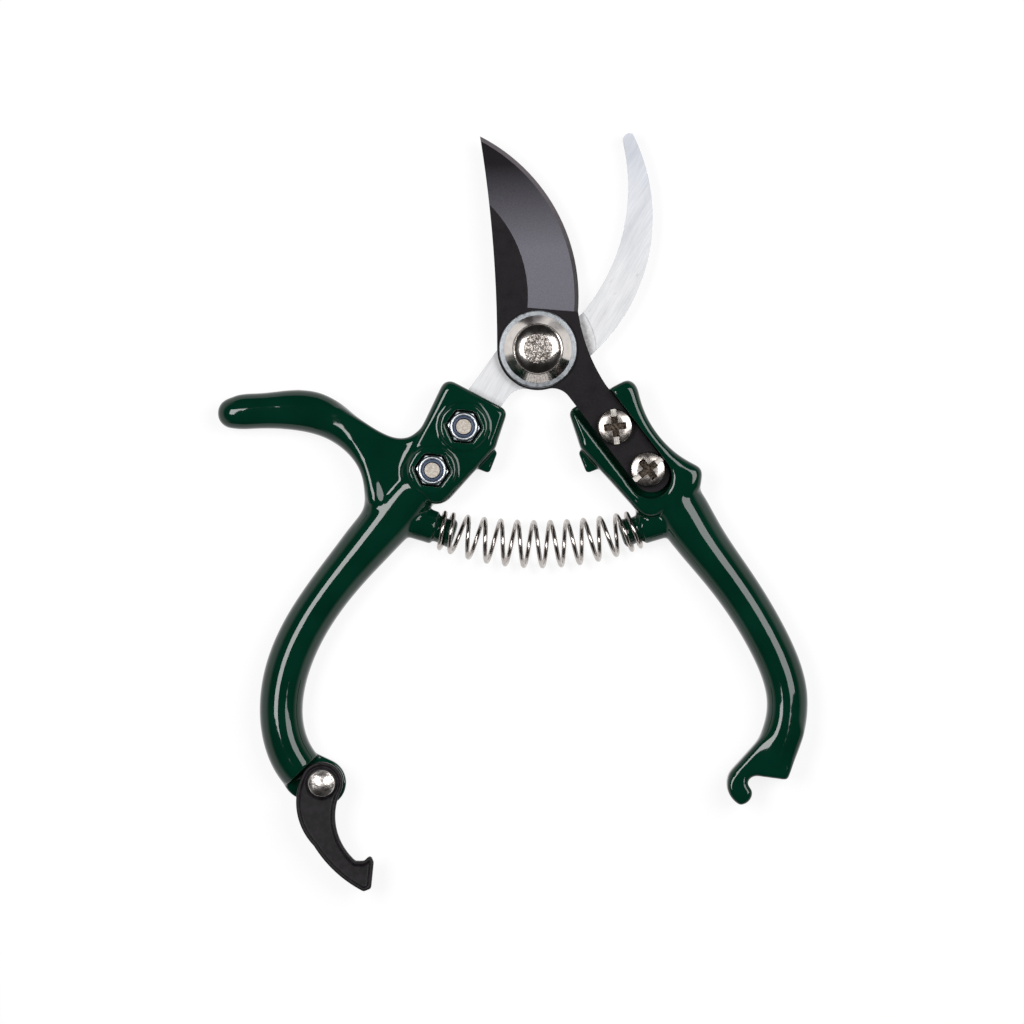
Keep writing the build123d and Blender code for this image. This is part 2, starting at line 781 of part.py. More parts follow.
def spring_point(turn):
    """Centre of the wire after a number of turns, which start and end at the back."""
    share = spring_share(turn)
    place, run = spring_axis((2 * share - 1) * spring_wire_angle)
    belly = 1 - (2 * share - 1) ** 2
    radius = (spring_end_diameter + (spring_middle_diameter - spring_end_diameter) * belly) / 2
    side = Vector(-run.Y, run.X, 0)
    phase = 2 * pi * turn - pi / 2
    return place + side * (radius * cos(phase)) + Vector(0, 0, radius * sin(phase))


def spring_run(turn):
    """Direction of the wire after a number of turns."""
    return (spring_point(turn + spring_step) - spring_point(turn - spring_step)).normalized()


# Spring
with BuildPart() as spring:
    with BuildLine() as wire:
        for quarter in range(4 * spring_turns):
            start = spring_point(quarter / 4)
            end = spring_point((quarter + 1) / 4)
            middle = arc_joint(start, spring_run(quarter / 4), end, spring_run((quarter + 1) / 4))
            first_arc = TangentArc(start, middle, tangent=spring_run(quarter / 4))
            TangentArc(middle, end, tangent=first_arc % 1)
    with BuildSketch(Plane(wire.line @ 0, z_dir=wire.line % 0)):
        Circle(spring_wire / 2)
    sweep()

pieces = {
    "cutting_blade": cutting_blade,
    "counter_blade": counter_blade,
    "right_handle": right_handle,
    "left_handle": left_handle,
    "latch": latch,
    "latch_rivet": latch_rivet,
    "pivot_bolt": pivot_bolt,
    "pivot_washer": pivot_washer,
    "pivot_nut": pivot_nut,
    "spring": spring,
}

# Fasteners of both tangs: heads in front and nuts behind on the right, the other way on the left
fasteners = {}
for row, run, slot_turn in (("upper", 0, upper_slot_turn), ("lower", screw_pitch, lower_slot_turn)):
    cutting_head = cutting_tang * Pos(run, 0, cutting_top)
    cutting_seat = cutting_tang * Location((run, 0, cutting_bottom - nut_seat_thickness), (180, 0, 0))
    counter_head = counter_tang * Location((run, 0, counter_bottom), (180, 0, 0))
    counter_seat = counter_tang * Pos(run, 0, shear_height + nut_seat_thickness)
    fasteners[f"cutting_screw_{row}"] = make_screw(cutting_head, slot_turn)
    fasteners[f"cutting_nut_{row}"] = make_nut(cutting_seat)
    fasteners[f"cutting_insert_{row}"] = make_insert(cutting_seat)
    fasteners[f"counter_screw_{row}"] = make_screw(counter_head, slot_turn)
    fasteners[f"counter_nut_{row}"] = make_nut(counter_seat)
    fasteners[f"counter_insert_{row}"] = make_insert(counter_seat)

os.makedirs("parts", exist_ok=True)
for name, piece in pieces.items():
    piece.part.label = name
    export_step(piece.part, f"parts/{name}.step")
for name, fastener in fasteners.items():
    fastener.label = name
    export_step(fastener, f"parts/{name}.step")

# Least gap of the spring's wire to itself, measured on points along it
points_per_turn = 24
point_count = spring_turns * points_per_turn + 1
wire_points = [spring_point(index / points_per_turn) for index in range(point_count)]
least = min(
    (wire_points[first] - wire_points[second]).length
    for first in range(len(wire_points))
    for second in range(first + points_per_turn // 2, len(wire_points))
)
print(f"spring: least gap of the wire to itself {least - spring_wire:.2f} mm")
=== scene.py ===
# %% [markdown]
# # Bypass pruning shears, dressed for the camera
#
# The solids of the shears come in as a fixed frame. They already have the right places, sizes
# and joints. This lesson gives each of them the surface that the real tool has: poured enamel,
# ground and blackened steel, nickel, zinc, nylon and moulded plastic.

# %% Load the frame
from math import asin, atan2, cos, pi, radians, sin

import bmesh
import bpy
from mathutils import Matrix, Vector
from mathutils.geometry import intersect_point_line


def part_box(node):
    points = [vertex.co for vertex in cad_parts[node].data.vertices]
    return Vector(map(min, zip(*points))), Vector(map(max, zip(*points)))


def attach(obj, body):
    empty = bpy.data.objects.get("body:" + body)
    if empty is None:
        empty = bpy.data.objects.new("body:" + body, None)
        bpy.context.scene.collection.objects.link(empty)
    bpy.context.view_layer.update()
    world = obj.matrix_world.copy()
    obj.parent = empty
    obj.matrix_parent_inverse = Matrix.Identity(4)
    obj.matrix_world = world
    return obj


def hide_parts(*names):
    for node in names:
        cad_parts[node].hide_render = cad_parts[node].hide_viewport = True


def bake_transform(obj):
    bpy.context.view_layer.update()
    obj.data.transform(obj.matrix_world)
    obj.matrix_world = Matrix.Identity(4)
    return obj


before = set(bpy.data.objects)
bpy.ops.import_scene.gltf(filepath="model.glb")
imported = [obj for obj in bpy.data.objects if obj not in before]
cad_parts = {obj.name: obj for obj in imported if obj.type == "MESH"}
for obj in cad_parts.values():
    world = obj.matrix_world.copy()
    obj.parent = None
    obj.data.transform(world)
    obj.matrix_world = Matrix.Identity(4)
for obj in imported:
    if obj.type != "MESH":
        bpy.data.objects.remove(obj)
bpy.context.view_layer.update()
mm = 0.001

# %% [markdown]
# ## Floor, light and camera
#
# The shears lie on a white table and are seen from straight above. A floor that is only lit
# would turn grey round the object, and a floor that only glows would lose the shadow. So the
# floor does both: most of its white is a glow that cameras and reflections see, and the rest
# is lit, which leaves a pale shadow under the handles.

# %% Helpers for node trees
def add_node(tree, kind, **settings):
    """Add a node and set its properties and, by name, its inputs."""
    node = tree.nodes.new(kind)
    for name, value in settings.items():
        if name in node.inputs:
            node.inputs[name].default_value = value
        else:
            setattr(node, name, value)
    return node


def seen_directly(tree):
    """One where a camera, a reflection or a see-through surface looks, nought for soft light."""
    path = add_node(tree, "ShaderNodeLightPath")
    camera_or_gloss = add_node(tree, "ShaderNodeMath", operation="MAXIMUM")
    any_of_them = add_node(tree, "ShaderNodeMath", operation="MAXIMUM")
    tree.links.new(path.outputs["Is Camera Ray"], camera_or_gloss.inputs[0])
    tree.links.new(path.outputs["Is Glossy Ray"], camera_or_gloss.inputs[1])
    tree.links.new(camera_or_gloss.outputs[0], any_of_them.inputs[0])
    tree.links.new(path.outputs["Is Transmission Ray"], any_of_them.inputs[1])
    return any_of_them.outputs[0]


def spread(tree, value, low, high, start=0.3, end=0.7):
    """Map a value between start and end to a range of numbers."""
    span = add_node(tree, "ShaderNodeMapRange")
    span.inputs["From Min"].default_value = start
    span.inputs["From Max"].default_value = end
    span.inputs["To Min"].default_value = low
    span.inputs["To Max"].default_value = high
    tree.links.new(value, span.inputs["Value"])
    return span.outputs[0]


first_colour, second_colour, mixed_colour = 6, 7, 2


def two_tones(tree, value, first, second):
    """Colours between two tones, mixed by a value. A tone is a colour or another node's output."""
    mix = add_node(tree, "ShaderNodeMix", data_type="RGBA")
    for socket, tone in ((first_colour, first), (second_colour, second)):
        if isinstance(tone, tuple):
            mix.inputs[socket].default_value = (*tone, 1)
        else:
            tree.links.new(tone, mix.inputs[socket])
    tree.links.new(value, mix.inputs["Factor"])
    return mix.outputs[mixed_colour]


def combine(tree, operation, first, second):
    """A sum, product or other function of two values."""
    node = add_node(tree, "ShaderNodeMath", operation=operation)
    tree.links.new(first, node.inputs[0])
    tree.links.new(second, node.inputs[1])
    return node.outputs[0]


# %% White floor
floor_half = 1.6
floor_glow = 0.86
floor_white = 0.18

floor_material = bpy.data.materials.new("white_table")
floor_material.use_nodes = True
floor_tree = floor_material.node_tree
floor_tree.nodes.clear()
lit_white = add_node(floor_tree, "ShaderNodeBsdfDiffuse", Color=(floor_white,) * 3 + (1,))
glow = add_node(floor_tree, "ShaderNodeEmission")
glow_share = add_node(floor_tree, "ShaderNodeMath", operation="MULTIPLY")
glow_share.inputs[1].default_value = floor_glow
both = add_node(floor_tree, "ShaderNodeAddShader")
floor_output = add_node(floor_tree, "ShaderNodeOutputMaterial")
floor_tree.links.new(seen_directly(floor_tree), glow_share.inputs[0])
floor_tree.links.new(glow_share.outputs[0], glow.inputs["Strength"])
floor_tree.links.new(lit_white.outputs[0], both.inputs[0])
floor_tree.links.new(glow.outputs[0], both.inputs[1])
floor_tree.links.new(both.outputs[0], floor_output.inputs["Surface"])

floor_bm = bmesh.new()
bmesh.ops.create_grid(floor_bm, x_segments=1, y_segments=1, size=floor_half)
floor_mesh = bpy.data.meshes.new("table_top")
floor_bm.to_mesh(floor_mesh)
floor_bm.free()
floor = bpy.data.objects.new("table_top", floor_mesh)
floor_mesh.materials.append(floor_material)
bpy.context.scene.collection.objects.link(floor)
print("floor", 2 * floor_half, "m wide")

# %% [markdown]
# The photograph was lit by a large soft box on each side, and the room was dark above and at
# both ends. That is why the enamel stays deep green on top, carries one strip of light along
# each grip and turns pale at its outline, where it mirrors the white table. The bolt's dome
# shows the same room: white at its sides, brown towards the blades. The world is therefore
# white at the horizon on the left and right, and dark overhead and at the ends.

# %% World with a dark ceiling
ceiling_grey = 0.015
ceiling_start, ceiling_full = 0.10, 0.45
end_start, end_full = 0.75, 0.35
end_height = 0.15
soft_light_share = 0.5

world = bpy.data.worlds.new("studio")
bpy.context.scene.world = world
world.use_nodes = True
world_tree = world.node_tree
world_tree.nodes.clear()
look = add_node(world_tree, "ShaderNodeSeparateXYZ")
world_tree.links.new(add_node(world_tree, "ShaderNodeTexCoord").outputs["Generated"], look.inputs[0])
sideways = add_node(world_tree, "ShaderNodeMath", operation="ABSOLUTE")
world_tree.links.new(look.outputs["X"], sideways.inputs[0])
overhead = spread(world_tree, look.outputs["Z"], 0, 1, ceiling_start, ceiling_full)
above_floor = spread(world_tree, look.outputs["Z"], 0, 1, 0, end_height)
room_end = spread(world_tree, sideways.outputs[0], 1, 0, end_full, end_start)
dark_end = combine(world_tree, "MULTIPLY", above_floor, room_end)
dark_share = combine(world_tree, "MAXIMUM", overhead, dark_end)
background = add_node(world_tree, "ShaderNodeBackground")
world_output = add_node(world_tree, "ShaderNodeOutputWorld")
room_colour = two_tones(world_tree, dark_share, (1, 1, 1), (ceiling_grey,) * 3)
room_strength = spread(world_tree, seen_directly(world_tree), soft_light_share, 1, 0, 1)
world_tree.links.new(room_colour, background.inputs["Color"])
world_tree.links.new(room_strength, background.inputs["Strength"])
world_tree.links.new(background.outputs[0], world_output.inputs["Surface"])
print("world of", len(world_tree.nodes), "nodes")

# %% [markdown]
# Each soft box is an area lamp. A polished surface shows a lamp where it tilts half as far as the
# lamp leans, so the lean of a box decides where its strip of light runs along the grips. The right
# box is larger and also lights the blades.

# %% Soft boxes
object_middle = Vector((-7.0 * mm, -43.9 * mm, 0))
box_distance = 1.1
box_power = 5.7


def soft_box(name, lean, turn, width, length):
    """A rectangle of light that leans from straight above, in the direction of turn."""
    lamp = bpy.data.lights.new(name, "AREA")
    lamp.shape = "RECTANGLE"
    lamp.size = width
    lamp.size_y = length
    lamp.energy = box_power
    box = bpy.data.objects.new(name, lamp)
    outwards = Vector((sin(lean) * cos(turn), sin(lean) * sin(turn), cos(lean)))
    box.location = object_middle + box_distance * outwards
    box.rotation_euler = (Matrix.Rotation(turn, 3, "Z") @ Matrix.Rotation(lean, 3, "Y")).to_euler()
    bpy.context.scene.collection.objects.link(box)


soft_box("right_box", radians(27), radians(20), 0.54, 0.50)
soft_box("left_box", radians(23), radians(166), 0.32, 0.48)
print("two soft boxes", box_distance, "m away")

# %% [markdown]
# The camera looks straight down from far away with a long lens, so that the raised bolt is not
# drawn larger than the blades under it. Its lens follows from the size of a pixel on the shears.

# %% Camera straight above
pixel = 0.27 * mm
picture_size = 1024
camera_height = 2.2
sensor = 36.0
mid_height = 8 * mm

camera_data = bpy.data.cameras.new("camera")
camera_data.sensor_width = sensor
camera_data.lens = sensor * (camera_height - mid_height) / (picture_size * pixel)
camera = bpy.data.objects.new("camera", camera_data)
camera.location = (object_middle.x, object_middle.y, camera_height)
bpy.context.scene.collection.objects.link(camera)
bpy.context.scene.camera = camera
bpy.context.scene.view_settings.view_transform = "Standard"
print("lens", round(camera_data.lens), "mm")

# %% [markdown]
# ## Finishes
#
# Every finish starts from the Principled shader. Numbers that are the same all over are set on
# its sockets, and only what changes over the surface is fed by textures. All textures read
# Object coordinates, so the patterns have real sizes: a scale of 1000 repeats each millimetre.

# %% Helpers for finishes
def new_finish(name, **shader_values):
    """A material with a Principled shader, and the coordinates that its textures read."""
    material = bpy.data.materials.new(name)
    material.use_nodes = True
    tree = material.node_tree
    shader = tree.nodes["Principled BSDF"]
    for socket, value in shader_values.items():
        shader.inputs[socket.replace("_", " ")].default_value = value
    place = add_node(tree, "ShaderNodeTexCoord").outputs["Object"]
    return material, tree, shader, place


def grain(tree, place, scale, detail=2.0, stretch=1.0, turn=0.0):
    """Noise with a number of bumps to the metre, stretched along a direction in plan."""
    mapping = add_node(tree, "ShaderNodeMapping", vector_type="TEXTURE")
    mapping.inputs["Scale"].default_value = (stretch, 1, 1)
    mapping.inputs["Rotation"].default_value = (0, 0, turn)
    noise = add_node(tree, "ShaderNodeTexNoise", Scale=scale, Detail=detail)
    tree.links.new(place, mapping.inputs["Vector"])
    tree.links.new(mapping.outputs[0], noise.inputs["Vector"])
    return noise.outputs["Fac"]


def along_y(tree, place, start, end):
    """Nought at one distance along the shears and one at another. Millimetres."""
    parts = add_node(tree, "ShaderNodeSeparateXYZ")
    tree.links.new(place, parts.inputs[0])
    return spread(tree, parts.outputs["Y"], 0, 1, start * mm, end * mm)


def along_x(tree, place):
    """Distance across the shears, in metres."""
    parts = add_node(tree, "ShaderNodeSeparateXYZ")
    tree.links.new(place, parts.inputs[0])
    return parts.outputs["X"]


def bump(tree, value, height, under=None):
    """Bump of a height in metres, over another bump if one is given."""
    node = add_node(tree, "ShaderNodeBump", Distance=height)
    tree.links.new(value, node.inputs["Height"])
    if under:
        tree.links.new(under, node.inputs["Normal"])
    return node.outputs[0]


# %% [markdown]
# ### Green enamel
#
# The handles are dipped castings. The enamel is deep green, wet-looking and slightly uneven:
# the gloss ripples a little over the casting, and a few specks of dust are caught in it. A
# clear coat over a tinted base without gloss of its own gives the wet look.

# %% Enamel
enamel, tree, shader, place = new_finish(
    "green_enamel",
    Roughness=0.4,
    Specular_IOR_Level=0.0,
    Coat_Weight=1.0,
    Coat_Roughness=0.06,
    Coat_IOR=1.43,
)
cloud = grain(tree, place, 90)
colour = two_tones(tree, spread(tree, cloud, 0, 1), (0.0004, 0.024, 0.0125), (0.0010, 0.032, 0.0175))
tree.links.new(colour, shader.inputs["Base Color"])
ripple = bump(tree, grain(tree, place, 260, 1.0), 0.03 * mm)
dust = bump(tree, spread(tree, grain(tree, place, 1100, 1.0), 0, 1, 0.70, 0.76), 0.02 * mm, ripple)
tree.links.new(dust, shader.inputs["Normal"])
tree.links.new(ripple, shader.inputs["Coat Normal"])
print("enamel of", len(tree.nodes), "nodes")

# %% [markdown]
# ### Blackened blade
#
# The cutting blade is coated black. Its flat spine is smooth, the wide ground bevel keeps a
# sandy grey grain, and the honed edge is brighter. Three materials on one mesh are simpler to
# control than one material with masks.

# %% Black coat, ground bevel and honed edge
black_coat, tree, shader, place = new_finish("black_coat", Specular_IOR_Level=0.12)
fine = grain(tree, place, 2200)
colour = two_tones(tree, spread(tree, fine, 0, 1), (0.0085, 0.0068, 0.0085), (0.0145, 0.0118, 0.0142))
tree.links.new(colour, shader.inputs["Base Color"])
tree.links.new(spread(tree, grain(tree, place, 300), 0.30, 0.44), shader.inputs["Roughness"])
tree.links.new(bump(tree, fine, 0.004 * mm), shader.inputs["Normal"])

bevel_heel_y, bevel_tip_y = 27, 50
ground_black, tree, shader, place = new_finish("ground_bevel", Metallic=0.1, Specular_IOR_Level=0.1)
sand = grain(tree, place, 2600, 3.0)
to_tip = along_y(tree, place, bevel_heel_y, bevel_tip_y)
rubbed = two_tones(tree, to_tip, (0.19, 0.185, 0.215), (0.014, 0.011, 0.014))
coated = two_tones(tree, to_tip, (0.135, 0.13, 0.155), (0.008, 0.006, 0.008))
colour = two_tones(tree, spread(tree, sand, 0, 1), coated, rubbed)
tree.links.new(colour, shader.inputs["Base Color"])
tree.links.new(spread(tree, sand, 0.40, 0.55), shader.inputs["Roughness"])
tree.links.new(bump(tree, sand, 0.012 * mm), shader.inputs["Normal"])

hone_turn = radians(35)
honed_heel_y, honed_tip_y = 24, 52
honed, tree, shader, place = new_finish("honed_edge", Metallic=0.3, Specular_IOR_Level=0.2)
lines = grain(tree, place, 2400, 2.0, 8.0, hone_turn)
to_tip = along_y(tree, place, honed_heel_y, honed_tip_y)
colour = two_tones(tree, to_tip, (0.045, 0.042, 0.044), (0.165, 0.145, 0.158))
tree.links.new(colour, shader.inputs["Base Color"])
tree.links.new(spread(tree, lines, 0.36, 0.50), shader.inputs["Roughness"])
tree.links.new(bump(tree, lines, 0.006 * mm), shader.inputs["Normal"])
print("blade finishes from", bevel_heel_y, "to", bevel_tip_y, "mm along the shears")

# %% [markdown]
# ### Bright steel, zinc and nickel
#
# The counter blade is ground across its length, so its scratches run one way. Noise that is
# stretched along that way gives them. Near the pivot it carries painted shade beside the cutting
# blade, and lower down single scuffs. The washer and nuts are zinc, blue-grey and dull. The bolt,
# screws, rivet and spring are nickel, warmer and more like a mirror.

# %% Ground steel: scratches
scratch_turn = radians(60)
scratch_length = 16.0
broad_length = 7.0
root_y, tip_y = 18, 55
ground_steel, tree, shader, place = new_finish("ground_steel", Metallic=1.0)
scratches = grain(tree, place, 2600, 3.0, scratch_length, scratch_turn)
broad = grain(tree, place, 520, 2.0, broad_length, scratch_turn)
broad_half = spread(tree, broad, 0, 0.5)
narrow_half = spread(tree, scratches, 0, 0.5, 0.4, 0.6)
mixed_scratches = combine(tree, "ADD", broad_half, narrow_half)
to_tip = along_y(tree, place, root_y, tip_y)
lighter = two_tones(tree, to_tip, (0.645, 0.645, 0.655), (0.56, 0.575, 0.615))
darker = two_tones(tree, to_tip, (0.48, 0.485, 0.50), (0.405, 0.42, 0.46))
streaks = two_tones(tree, mixed_scratches, darker, lighter)
tree.links.new(spread(tree, scratches, 0.46, 0.58), shader.inputs["Roughness"])
tree.links.new(bump(tree, scratches, 0.004 * mm), shader.inputs["Normal"])

# %% [markdown]
# A brown tone is laid over the scratches by a mask. Close to the pivot, on the right, it is painted
# shade at the step beside the cutting blade. Single scuffs follow the scratches and fade to the tip.

# %% Ground steel: painted shade and wear
shade_start, shade_end = 13.0, 16.0
shade_left, shade_right = 9.0, 12.0
scuff_end_y, scuff_full_y = 34, 12
scuff_length = 2.5
# Painted shade: a brown crescent round the pivot, at the step beside the cutting blade.
painted_shade_brown = (0.16, 0.14, 0.125)
plan = add_node(tree, "ShaderNodeVectorMath", operation="MULTIPLY")
plan.inputs[1].default_value = (1, 1, 0)
from_pivot = add_node(tree, "ShaderNodeVectorMath", operation="LENGTH")
tree.links.new(place, plan.inputs[0])
tree.links.new(plan.outputs[0], from_pivot.inputs[0])
within = spread(tree, from_pivot.outputs["Value"], 0.6, 0, shade_start * mm, shade_end * mm)
on_right = spread(tree, along_x(tree, place), 0, 1, shade_left * mm, shade_right * mm)
shade_breakup = spread(tree, grain(tree, place, 1300, 3.0), 0.3, 1, 0.40, 0.60)
# The painted shade is broken up unevenly by noise; the scuffs below are real wear.
step_shade = combine(tree, "MULTIPLY", combine(tree, "MULTIPLY", within, on_right), shade_breakup)
scuff = spread(tree, grain(tree, place, 700, 4.0, scuff_length, scratch_turn), 0, 0.5, 0.66, 0.76)
low_down = along_y(tree, place, scuff_end_y, scuff_full_y)
shade_and_scuffs = combine(tree, "MAXIMUM", step_shade, combine(tree, "MULTIPLY", scuff, low_down))
tree.links.new(two_tones(tree, shade_and_scuffs, streaks, painted_shade_brown), shader.inputs["Base Color"])
print("ground steel of", len(tree.nodes), "nodes")

# %% [markdown]
# The plated metals differ only in tone, polish and grain, so one helper makes them all. One grain
# sets tone and polish together, so the paler spots are also rougher. The same grain dents the
# surface, or a finer one does.

# %% Helper for plated metals
def metal(
    name, bumps, dark, light, polish, detail=2.0, dent=0.0, dent_bumps=None, edges=(0.3, 0.7), share=1.0
):
    """A metal with bumps to the metre, two tones and a range of roughness. Dents in millimetres."""
    material, tree, shader, place = new_finish(name, Metallic=share)
    cloud = grain(tree, place, bumps, detail)
    colour = two_tones(tree, spread(tree, cloud, 0, 1, *edges), dark, light)
    tree.links.new(colour, shader.inputs["Base Color"])
    tree.links.new(spread(tree, cloud, *polish), shader.inputs["Roughness"])
    if dent:
        pits = grain(tree, place, dent_bumps) if dent_bumps else cloud
        tree.links.new(bump(tree, pits, dent * mm), shader.inputs["Normal"])
    return material


# %% Zinc plate, dull and bright
cloudy = 3.0
zinc_polish = (0.32, 0.44)
fine_dents = {"dent": 0.004, "dent_bumps": 2500}
dull_zinc = metal(
    "dull_zinc", 1100, (0.21, 0.222, 0.238), (0.31, 0.328, 0.347), zinc_polish, cloudy, **fine_dents
)
zinc = metal("zinc_plate", 900, (0.50, 0.54, 0.58), (0.68, 0.71, 0.75), zinc_polish, cloudy, **fine_dents)

# %% Nickel plate: smooth, satin, stamped, beaten and drawn
pitted = 4.0
stamp_edges = (0.38, 0.62)
nickel = metal(
    "nickel_plate",
    500,
    (0.60, 0.555, 0.52),
    (0.70, 0.655, 0.62),
    (0.12, 0.20),
    dent=0.003,
    dent_bumps=1500,
)
satin_nickel = metal(
    "satin_nickel", 900, (0.36, 0.325, 0.30), (0.47, 0.43, 0.40), (0.20, 0.30), **fine_dents
)
stamped_nickel = metal(
    "stamped_nickel",
    1500,
    (0.085, 0.073, 0.064),
    (0.36, 0.33, 0.31),
    (0.18, 0.28),
    pitted,
    dent=0.16,
    edges=stamp_edges,
)
beaten_nickel = metal(
    "beaten_nickel", 650, (0.52, 0.48, 0.455), (0.68, 0.635, 0.605), (0.24, 0.36), dent=0.18
)
spring_nickel = metal("spring_nickel", 600, (0.40, 0.365, 0.345), (0.54, 0.50, 0.475), (0.14, 0.22))

# %% [markdown]
# Tools leave their own marks on a screw. The slot is sawn, so its floor is rough and pale. The
# cross is punched, and painted shade darkens it. The thread's end is sheared off and dull.

# %% Sawn slot, punched cross and sheared end
sawn_nickel = metal("sawn_nickel", 3000, (0.50, 0.465, 0.43), (0.68, 0.65, 0.62), (0.45, 0.60), dent=0.01)
# Painted shade: the cross recess is coloured near black for the shade inside it.
recess_shade_nickel = metal("recess_shade_nickel", 1600, (0.03, 0.022, 0.017), (0.11, 0.088, 0.07), (0.25, 0.40))
sheared_steel = metal(
    "sheared_steel",
    1900,
    (0.30, 0.26, 0.22),
    (0.72, 0.66, 0.59),
    (0.50, 0.65),
    pitted,
    dent=0.06,
    share=0.6,
)
print("metal finishes:", [item.name for item in bpy.data.materials if "nickel" in item.name])

# %% [markdown]
# ### Nylon and moulded plastic
#
# The lock nuts hold a slate blue nylon ring. The latch is black plastic from a mould with a
# fine spark-eroded grain, rubbed paler here and there.

# %% Blue nylon and black plastic
nylon, tree, shader, place = new_finish("blue_nylon", Roughness=0.42)
cloud = grain(tree, place, 900)
colour = two_tones(tree, spread(tree, cloud, 0, 1), (0.045, 0.065, 0.12), (0.07, 0.10, 0.17))
tree.links.new(colour, shader.inputs["Base Color"])
tree.links.new(bump(tree, cloud, 0.01 * mm), shader.inputs["Normal"])

plastic, tree, shader, place = new_finish("black_plastic", Specular_IOR_Level=0.2)
spark = grain(tree, place, 3000, 2.0)
rub = grain(tree, place, 480, 5.0)
rub_share = spread(tree, rub, 0, 1, 0.45, 0.75)
colour = two_tones(tree, rub_share, (0.0085, 0.007, 0.0085), (0.022, 0.019, 0.022))
tree.links.new(colour, shader.inputs["Base Color"])
tree.links.new(spread(tree, rub, 0.38, 0.55), shader.inputs["Roughness"])
tree.links.new(bump(tree, spark, 0.02 * mm), shader.inputs["Normal"])
print(len(bpy.data.materials), "materials")

# %% [markdown]
# ## Castings and mouldings
#
# The handles and the latch have the right outline already, but their edges are as sharp as a
# drawing. On the real castings every edge is softened by the mould and the dip. Bevelling
# hundreds of edges where lofts meet would be fragile. A voxel remesh joins everything into one
# even skin, and smoothing then rounds it like enamel that has run into the corners. Round the
# machined seats the casting is crisp, so those zones are smoothed less.

# %% Helpers: objects and finished meshes
def placed(name, bm, materials):
    """An object made from a bmesh, which is used up."""
    mesh = bpy.data.meshes.new(name)
    bm.to_mesh(mesh)
    bm.free()
    for material in materials:
        mesh.materials.append(material)
    form = bpy.data.objects.new(name, mesh)
    bpy.context.scene.collection.objects.link(form)
    return form


def finished(form):
    """The mesh of an object with its modifiers applied, as a bmesh. The object goes away."""
    shaped = form.evaluated_get(bpy.context.evaluated_depsgraph_get())
    mesh = bpy.data.meshes.new_from_object(shaped)
    bm = bmesh.new()
    bm.from_mesh(mesh)
    bpy.data.meshes.remove(mesh)
    bpy.data.objects.remove(form)
    return bm


def show(name, bm, body, nodes, materials, crease=None):
    """Make a piece from a bmesh. It rides on a body and stands for CAD nodes."""
    piece = placed(name, bm, materials)
    piece.data.shade_smooth()
    if crease:
        piece.data.set_sharp_from_angle(angle=crease)
    if body:
        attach(piece, body)
    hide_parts(*nodes)
    return piece


corner_gap = 0.002 * mm


def merged_copy(node):
    """The triangles of a CAD node, joined at their corners."""
    bm = bmesh.new()
    bm.from_mesh(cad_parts[node].data)
    bmesh.ops.remove_doubles(bm, verts=bm.verts, dist=corner_gap)
    return bm


def axis_of(node):
    """Middle of a round CAD node in plan, with its lowest and highest point."""
    low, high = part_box(node)
    return (low.x + high.x) / 2, (low.y + high.y) / 2, low.z, high.z


# %% Helpers for soft castings
def even_skin(node, voxel):
    """One skin of even faces over a CAD node."""
    form = placed("casting", merged_copy(node), [])
    skin = form.modifiers.new("skin", "REMESH")
    skin.mode = "VOXEL"
    skin.voxel_size = voxel
    return finished(form)


every_axis = {"use_axis_x": True, "use_axis_y": True, "use_axis_z": True}
half_way = 0.5


def smooth(bm, verts, passes):
    """Let the skin run by a number of passes. Each moves a point half way to its neighbours."""
    for step in range(passes):
        bmesh.ops.smooth_vert(bm, verts=verts, factor=half_way, **every_axis)


def in_plan(x, y):
    """A point on the table from millimetres."""
    return Vector((x * mm, y * mm, 0))


def away(point, start, end):
    """Distance of a point from the line between two others, seen from above."""
    flat = Vector((point.x, point.y, 0))
    closest, share = intersect_point_line(flat, start, end)
    if share < 0:
        closest = start
    if share > 1:
        closest = end
    return (flat - closest).length


def fade(distance, reach, border):
    """One inside a reach and nought outside, with a soft border between."""
    return min(1, max(0, 0.5 - (distance - reach) / border))


# %% [markdown]
# ### How far the enamel runs
#
# The nut seats, the tang's mouth, the spring pegs, the stop lugs, the latch's ear and the hook are
# moulded sharp and machined, so little enamel runs there. Where two limbs of a casting meet, the
# mould has a generous fillet, and the skin runs further. Each such place is a line with a reach,
# in millimetres in plan. A point is a very short line.

# %% Where the castings stay crisp
seat_reach = 9.5 * mm
collar_reach = 7.3 * mm
collar_step = 6 * mm
mouth_reach = 14 * mm
peg_reach = 7.0 * mm
peg_x, peg_y = 31.0, -47.5
lug_reach = 6.0 * mm
lug_x, lug_y = 13.5, -30.3
ear_reach = 10 * mm
ear = in_plan(-58.3, -117.0)
web_reach = 2.6 * mm
web_corner, web_head = in_plan(-40.4, -38.2), in_plan(-34.9, -31.8)
hook_reach = 4.8 * mm
hook_start, hook_end = in_plan(67.0, -116.5), in_plan(55.0, -120.5)
point_length = in_plan(1, 0)
print("crisp round the seats within", round(collar_reach / mm, 1), "mm")


def crisp_zones(side, blade):
    """Lines with a reach, round which a handle keeps crisp edges."""
    upper = Vector((*axis_of(f"{blade}_nut_upper")[:2], 0))
    lower = Vector((*axis_of(f"{blade}_nut_lower")[:2], 0))
    tang = (upper - lower).normalized()
    mouth = upper + tang * mouth_reach
    sign = -1 if side == "left" else 1
    peg = in_plan(sign * peg_x, peg_y)
    lug = in_plan(sign * lug_x, lug_y)
    zones = [(lower, upper, collar_reach), (lower + tang * collar_step, mouth, seat_reach)]
    zones += [(peg, peg + point_length, peg_reach), (lug, lug + point_length, lug_reach)]
    if side == "left":
        zones.append((ear, ear + point_length, ear_reach))
        zones.append((web_corner, web_head, web_reach))
    else:
        zones.append((hook_start, hook_end, hook_reach))
    return zones


